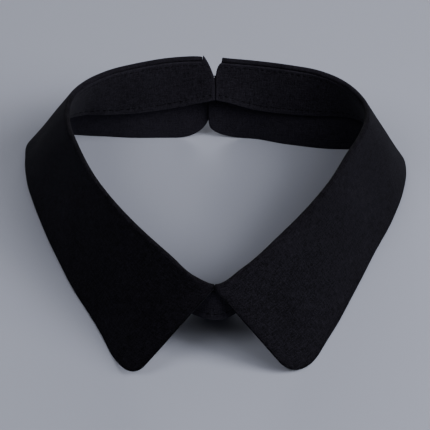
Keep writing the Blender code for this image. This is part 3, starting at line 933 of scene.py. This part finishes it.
class Shaders:
    """Shader node groups that several finishes share."""

    def __init__(self) -> None:
        """Builds each group once."""
        self.weave = self.weave_group()
        self.nap = self.nap_group()

    @staticmethod
    def maths(tree: bpy.types.NodeTree, operation: str, *values: object) -> bpy.types.NodeSocket:
        """A Math node fed by sockets or plain numbers; returns its output."""
        node = tree.nodes.new("ShaderNodeMath")
        node.operation = operation
        for socket, value in zip(node.inputs, values):
            if isinstance(value, bpy.types.NodeSocket):
                tree.links.new(value, socket)
            else:
                socket.default_value = value
        return node.outputs[0]

    def weave_group(self) -> bpy.types.NodeTree:
        """Plain weave: height of the threads, each passing over and under in turn."""
        tree = bpy.data.node_groups.new("plain weave", "ShaderNodeTree")
        group_input(tree, "Cloth Place", "NodeSocketVector")
        group_input(tree, "Warp Per Metre", "NodeSocketFloat", 2600.0)
        group_input(tree, "Weft Per Metre", "NodeSocketFloat", 2300.0)
        group_input(tree, "Slub", "NodeSocketFloat", 0.3)
        tree.interface.new_socket(name="Height", in_out="OUTPUT", socket_type="NodeSocketFloat")
        given, out = tree.nodes.new("NodeGroupInput"), tree.nodes.new("NodeGroupOutput")
        split = tree.nodes.new("ShaderNodeSeparateXYZ")
        tree.links.new(given.outputs["Cloth Place"], split.inputs[0])
        m = partial(self.maths, tree)
        slub = tree.nodes.new("ShaderNodeTexNoise")
        slub.inputs["Scale"].default_value = 900.0
        slub.inputs["Detail"].default_value = 2.0
        tree.links.new(given.outputs["Cloth Place"], slub.inputs["Vector"])
        drift = m("MULTIPLY", m("SUBTRACT", slub.outputs[0], 0.5), given.outputs["Slub"])
        warp = m("ADD", m("MULTIPLY", split.outputs["X"], given.outputs["Warp Per Metre"]), drift)
        weft = m("ADD", m("MULTIPLY", split.outputs["Y"], given.outputs["Weft Per Metre"]), drift)
        warp_turn, weft_turn = m("MULTIPLY", warp, math.pi), m("MULTIPLY", weft, math.pi)
        warp_round = m("ABSOLUTE", m("SINE", warp_turn))
        weft_round = m("ABSOLUTE", m("SINE", weft_turn))
        over = m("MULTIPLY", m("SIGN", m("SINE", warp_turn)), m("SIGN", m("SINE", weft_turn)))
        top = m("MULTIPLY_ADD", over, 0.5, 0.5)
        warp_part = m("MULTIPLY", warp_round, m("MULTIPLY_ADD", weft_round, 0.6, 0.4))
        weft_part = m("MULTIPLY", weft_round, m("MULTIPLY_ADD", warp_round, 0.6, 0.4))
        mix = m("ADD", m("MULTIPLY", warp_part, top), m("MULTIPLY", weft_part, m("SUBTRACT", 1.0, top)))
        tree.links.new(mix, out.inputs["Height"])
        return tree

    def nap_group(self) -> bpy.types.NodeTree:
        """Uneven yarns, fuzz, lint and handling marks: four masks, the first along the cloth's threads."""
        tree = bpy.data.node_groups.new("cloth nap", "ShaderNodeTree")
        group_input(tree, "Place", "NodeSocketVector")
        group_input(tree, "Cloth Place", "NodeSocketVector")
        group_input(tree, "Nap Scale", "NodeSocketFloat", 2600.0)
        group_input(tree, "Mark Scale", "NodeSocketFloat", 60.0)
        group_input(tree, "Yarn Scale", "NodeSocketFloat", 1700.0)
        for name in ("Nap", "Lint", "Marks", "Yarns"):
            tree.interface.new_socket(name=name, in_out="OUTPUT", socket_type="NodeSocketFloat")
        given, out = tree.nodes.new("NodeGroupInput"), tree.nodes.new("NodeGroupOutput")

        def noise(place: bpy.types.NodeSocket, scale: bpy.types.NodeSocket,
                  detail: float) -> bpy.types.NodeSocket:
            """One noise field."""
            node = tree.nodes.new("ShaderNodeTexNoise")
            node.inputs["Detail"].default_value = detail
            tree.links.new(place, node.inputs["Vector"])
            tree.links.new(scale, node.inputs["Scale"])
            return node.outputs[0]

        tree.links.new(noise(given.outputs["Place"], given.outputs["Nap Scale"], 3.0), out.inputs["Nap"])
        tree.links.new(noise(given.outputs["Place"], given.outputs["Mark Scale"], 4.0), out.inputs["Marks"])
        runs = []
        for stretch in ((1.0, 0.16, 1.0), (0.16, 1.0, 1.0)):
            drawn = tree.nodes.new("ShaderNodeVectorMath")
            drawn.operation = "MULTIPLY"
            drawn.inputs[1].default_value = stretch
            tree.links.new(given.outputs["Cloth Place"], drawn.inputs[0])
            runs.append(noise(drawn.outputs[0], given.outputs["Yarn Scale"], 2.0))
        yarns = self.maths(tree, "MULTIPLY", self.maths(tree, "ADD", *runs), 0.5)
        tree.links.new(yarns, out.inputs["Yarns"])
        speck = tree.nodes.new("ShaderNodeTexVoronoi")
        speck.inputs["Scale"].default_value = 420.0
        tree.links.new(given.outputs["Place"], speck.inputs["Vector"])
        tree.links.new(self.maths(tree, "LESS_THAN", speck.outputs["Distance"], 0.07), out.inputs["Lint"])
        return tree


@dataclass(frozen=True)
class ClothFinish:
    """Black woven cloth: two tones, and how strongly each mask moves the colour, some masks as painted
    light.
    """

    name: str
    dark: tuple[float, float, float]
    light: tuple[float, float, float]
    rough: float = 0.82
    gloss: float = 0.03
    sheen: float = 0.04
    sheen_rough: float = 0.45
    weave_depth: float = 0.00009
    # Painted edge shading: below 0 it darkens the edges as painted shade, above 0 it lightens them as a
    # painted highlight.
    painted_edge_shading: float = -0.7
    # Painted light: lightens the inner face, which is lit at the back.
    painted_inner_light: float = 0.0
    # Painted highlight on the fold at the back.
    painted_fold_highlight: float = 0.0
    contrast: float = 1.0
    base_share: float = 0.35
    weave_share: float = 0.30
    nap_share: float = 4.2
    yarn_share: float = 3.4
    mark_share: float = 0.7

    def make(self, shaders: Shaders) -> bpy.types.Material:
        """Builds the material.

        Args:
            shaders: The shared node groups.

        Returns:
            The material.
        """
        material = bpy.data.materials.new(self.name)
        material.use_nodes = True
        tree = material.node_tree
        shader = tree.nodes["Principled BSDF"]
        shader.inputs["Sheen Weight"].default_value = self.sheen
        shader.inputs["Sheen Roughness"].default_value = self.sheen_rough
        shader.inputs["Sheen Tint"].default_value = (0.75, 0.78, 0.88, 1.0)
        shader.inputs["Specular IOR Level"].default_value = self.gloss
        m = partial(Shaders.maths, tree)
        cloth = tree.nodes.new("ShaderNodeUVMap")
        cloth.uv_map = "cloth"
        place = tree.nodes.new("ShaderNodeTexCoord")
        painted_light_lifts = {"rim": self.painted_edge_shading, "inner face": self.painted_inner_light, "fold": self.painted_fold_highlight}
        weave, nap = (tree.nodes.new("ShaderNodeGroup") for _ in range(2))
        weave.node_tree, nap.node_tree = shaders.weave, shaders.nap
        tree.links.new(cloth.outputs[0], weave.inputs["Cloth Place"])
        tree.links.new(place.outputs["Object"], nap.inputs["Place"])
        tree.links.new(cloth.outputs[0], nap.inputs["Cloth Place"])
        blend = m("MULTIPLY_ADD", weave.outputs["Height"], self.weave_share, self.base_share)
        shares = (("Nap", self.nap_share), ("Yarns", self.yarn_share), ("Marks", self.mark_share))
        for name, strength in shares:
            uneven = m("SUBTRACT", nap.outputs[name], 0.5)
            blend = m("MULTIPLY_ADD", uneven, strength * self.contrast, blend)
        # Each attribute mask paints shade (below 0) and light (above 0) into the colour.
        for name, lift in painted_light_lifts.items():
            mask = tree.nodes.new("ShaderNodeAttribute")
            mask.attribute_name = name
            blend = m("MULTIPLY_ADD", mask.outputs["Fac"], lift, blend)
        colour = tree.nodes.new("ShaderNodeMix")
        colour.data_type = "RGBA"
        colour.clamp_factor = False
        tones = [s for s in colour.inputs if s.type == "RGBA"]
        tones[0].default_value, tones[1].default_value = (*self.dark, 1.0), (*self.light, 1.0)
        tree.links.new(m("MAXIMUM", blend, -0.2), colour.inputs[0])
        lint = tree.nodes.new("ShaderNodeMix")
        lint.data_type = "RGBA"
        sockets = [s for s in lint.inputs if s.type == "RGBA"]
        mixed = next(s for s in colour.outputs if s.type == "RGBA")
        tree.links.new(mixed, sockets[0])
        sockets[1].default_value = (0.05, 0.05, 0.055, 1.0)
        tree.links.new(m("MULTIPLY", nap.outputs["Lint"], 0.35), lint.inputs[0])
        tree.links.new(next(s for s in lint.outputs if s.type == "RGBA"), shader.inputs["Base Color"])
        tree.links.new(m("MULTIPLY_ADD", nap.outputs["Marks"], 0.12, self.rough - 0.06),
                       shader.inputs["Roughness"])
        bump = tree.nodes.new("ShaderNodeBump")
        bump.inputs["Strength"].default_value = 0.6
        bump.inputs["Distance"].default_value = self.weave_depth
        height = m("ADD", weave.outputs["Height"], m("MULTIPLY", nap.outputs["Nap"], 1.2))
        tree.links.new(m("ADD", height, m("MULTIPLY", nap.outputs["Yarns"], 2.5)), bump.inputs["Height"])
        tree.links.new(bump.outputs[0], shader.inputs["Normal"])
        return material


@dataclass(frozen=True)
class HardFinish:
    """Moulded button resin or twisted thread: colour and roughness broken up by nap."""

    name: str
    dark: tuple[float, float, float]
    light: tuple[float, float, float]
    rough: float
    coat: float = 0.0
    gloss: float = 0.5
    bump_depth: float = 0.00002

    def make(self, shaders: Shaders) -> bpy.types.Material:
        """Builds the material."""
        material = bpy.data.materials.new(self.name)
        material.use_nodes = True
        tree = material.node_tree
        shader = tree.nodes["Principled BSDF"]
        shader.inputs["Coat Weight"].default_value = self.coat
        shader.inputs["Specular IOR Level"].default_value = self.gloss
        place, nap = tree.nodes.new("ShaderNodeTexCoord"), tree.nodes.new("ShaderNodeGroup")
        nap.node_tree = shaders.nap
        tree.links.new(place.outputs["Object"], nap.inputs["Place"])
        colour = tree.nodes.new("ShaderNodeMix")
        colour.data_type = "RGBA"
        tones = [s for s in colour.inputs if s.type == "RGBA"]
        tones[0].default_value, tones[1].default_value = (*self.dark, 1.0), (*self.light, 1.0)
        tree.links.new(nap.outputs["Nap"], colour.inputs[0])
        tree.links.new(next(s for s in colour.outputs if s.type == "RGBA"), shader.inputs["Base Color"])
        tree.links.new(Shaders.maths(tree, "MULTIPLY_ADD", nap.outputs["Marks"], 0.15, self.rough - 0.07),
                       shader.inputs["Roughness"])
        bump = tree.nodes.new("ShaderNodeBump")
        bump.inputs["Distance"].default_value = self.bump_depth
        tree.links.new(nap.outputs["Nap"], bump.inputs["Height"])
        tree.links.new(bump.outputs[0], shader.inputs["Normal"])
        return material


@dataclass
class AreaLamp:
    """One soft lamp, aimed at the collar; its bearing is 0 at the front and 90 at the wearer's left."""

    name: str
    bearing: float
    height: float
    power: float
    size: float = 0.5
    wide: float = 0.5
    away: float = 1.3

    def build(self) -> None:
        """Adds the lamp to the scene."""
        data = bpy.data.lights.new(self.name, "AREA")
        data.shape, data.energy = "ELLIPSE", self.power
        data.size, data.size_y = self.wide, self.size
        turn, up = math.radians(self.bearing), math.radians(self.height)
        way = Vector((math.sin(turn) * math.cos(up), -math.cos(turn) * math.cos(up), math.sin(up)))
        lamp = bpy.data.objects.new(self.name, data)
        lamp.location = way * self.away
        lamp.rotation_euler = (-way).to_track_quat("-Z", "Y").to_euler()
        bpy.context.scene.collection.objects.link(lamp)


@dataclass
class Studio:
    """Pale blue-grey table, soft light and the camera at the photograph's angle."""

    floor_half: float = 3.0
    floor_tone: tuple[float, float, float] = (0.41, 0.432, 0.53)
    air: tuple[float, float, float] = (0.80, 0.86, 1.0)
    air_strength: float = 0.01
    elevation: float = 45.0
    distance: float = 0.76
    lens: float = 160.98
    aim: tuple[float, float, float] = (0.0, -0.0012, 0.020)
    lamps: list[AreaLamp] = field(default_factory=lambda: [
        AreaLamp("key_low", 70.0, 30.0, 7.0),
        AreaLamp("key_high", 70.0, 45.0, 6.0),
        AreaLamp("front_left", 42.0, 54.0, 4.2, size=0.6, wide=0.6),
        AreaLamp("front_right", 312.0, 54.0, 4.0, size=0.6, wide=0.6),
        AreaLamp("back_low", 180.0, 15.0, 7.6, size=0.4, wide=1.2),
    ])

    def floor(self) -> None:
        """Adds the table top."""
        h = self.floor_half
        mesh = bpy.data.meshes.new("table_top")
        mesh.from_pydata([(-h, -h, 0), (h, -h, 0), (h, h, 0), (-h, h, 0)], [], [(0, 1, 2, 3)])
        material = bpy.data.materials.new("table_top")
        material.use_nodes = True
        shader = material.node_tree.nodes["Principled BSDF"]
        shader.inputs["Base Color"].default_value = (*self.floor_tone, 1.0)
        shader.inputs["Roughness"].default_value = 0.75
        mesh.materials.append(material)
        table = bpy.data.objects.new("table_top", mesh)
        table.location.z = -0.0001
        bpy.context.scene.collection.objects.link(table)

    def camera(self) -> None:
        """Adds the camera and makes it the scene's."""
        data = bpy.data.cameras.new("photo_view")
        data.lens, data.sensor_width, data.clip_start = self.lens, 36.0, 0.01
        tilt = math.radians(self.elevation)
        camera = bpy.data.objects.new("photo_view", data)
        camera.location = Vector(self.aim) + self.distance * Vector((0, -math.cos(tilt), math.sin(tilt)))
        camera.rotation_euler = (math.pi / 2 - tilt, 0, 0)
        bpy.context.scene.collection.objects.link(camera)
        bpy.context.scene.camera = camera

    def build(self) -> None:
        """Builds floor, air, lamps and camera."""
        self.floor()
        world = bpy.data.worlds.new("air")
        world.use_nodes = True
        sky = world.node_tree.nodes["Background"]
        sky.inputs[0].default_value = (*self.air, 1.0)
        sky.inputs[1].default_value = self.air_strength
        bpy.context.scene.world = world
        for lamp in self.lamps:
            lamp.build()
        self.camera()


def main() -> None:
    """Builds the collar piece by piece, dresses it and sets up the studio."""
    logging.basicConfig(level=logging.INFO, format="%(name)s: %(message)s")
    collection = bpy.data.collections.new("collar_looks")
    bpy.context.scene.collection.children.link(collection)
    shaders = Shaders()
    # The leaf cloth has painted shade at its edges, painted light on its inner face and a painted highlight
    # on the fold at the back.
    leaf_cloth = ClothFinish("leaf_cloth_look", (0.0030, 0.0027, 0.0040), (0.0106, 0.0097, 0.0140),
                             painted_inner_light=1.2, painted_fold_highlight=0.8).make(shaders)
    # The stand cloth is a lighter copy of the leaf cloth, painted light, with a painted highlight at its
    # edges.
    stand_cloth_painted_light = ClothFinish("stand_cloth_painted_light_look", (0.0062, 0.0057, 0.0082), (0.0195, 0.0180, 0.0255),
                              painted_edge_shading=0.5, contrast=0.72).make(shaders)
    thread = HardFinish("stitch_thread", (0.0015, 0.0015, 0.002), (0.0045, 0.0045, 0.006), 0.85,
                        gloss=0.06).make(shaders)
    resin = HardFinish("button_resin", (0.006, 0.006, 0.007), (0.012, 0.012, 0.014), 0.35,
                       coat=0.2).make(shaders)
    neckline = Neckline()
    pieces: list[tuple[bpy.types.Object, bpy.types.Material | None]] = []
    for sections, side in ((WEARERS_RIGHT, Side.RIGHT), (WEARERS_LEFT, Side.LEFT)):
        taper = 0.5 if side is Side.RIGHT else 0.0
        pieces.append((Leaf(neckline, sections, side, fold_taper=taper).build(collection), leaf_cloth))
    stand = Stand(neckline)
    pieces.append((stand.build(collection), stand_cloth_painted_light))
    pieces.append((StitchLayer().lay(stand, thread, collection), None))
    fastening = Fastening(stand)
    pieces.append((fastening.build_button(collection), resin))
    pieces.append((fastening.build_loop(collection), thread))
    for thing, material in pieces:
        if material is not None:
            thing.data.materials.append(material)
        LOG.info("%s: %d faces", thing.name, len(thing.data.polygons))
    Studio().build()


if __name__ == "__main__":
    main()
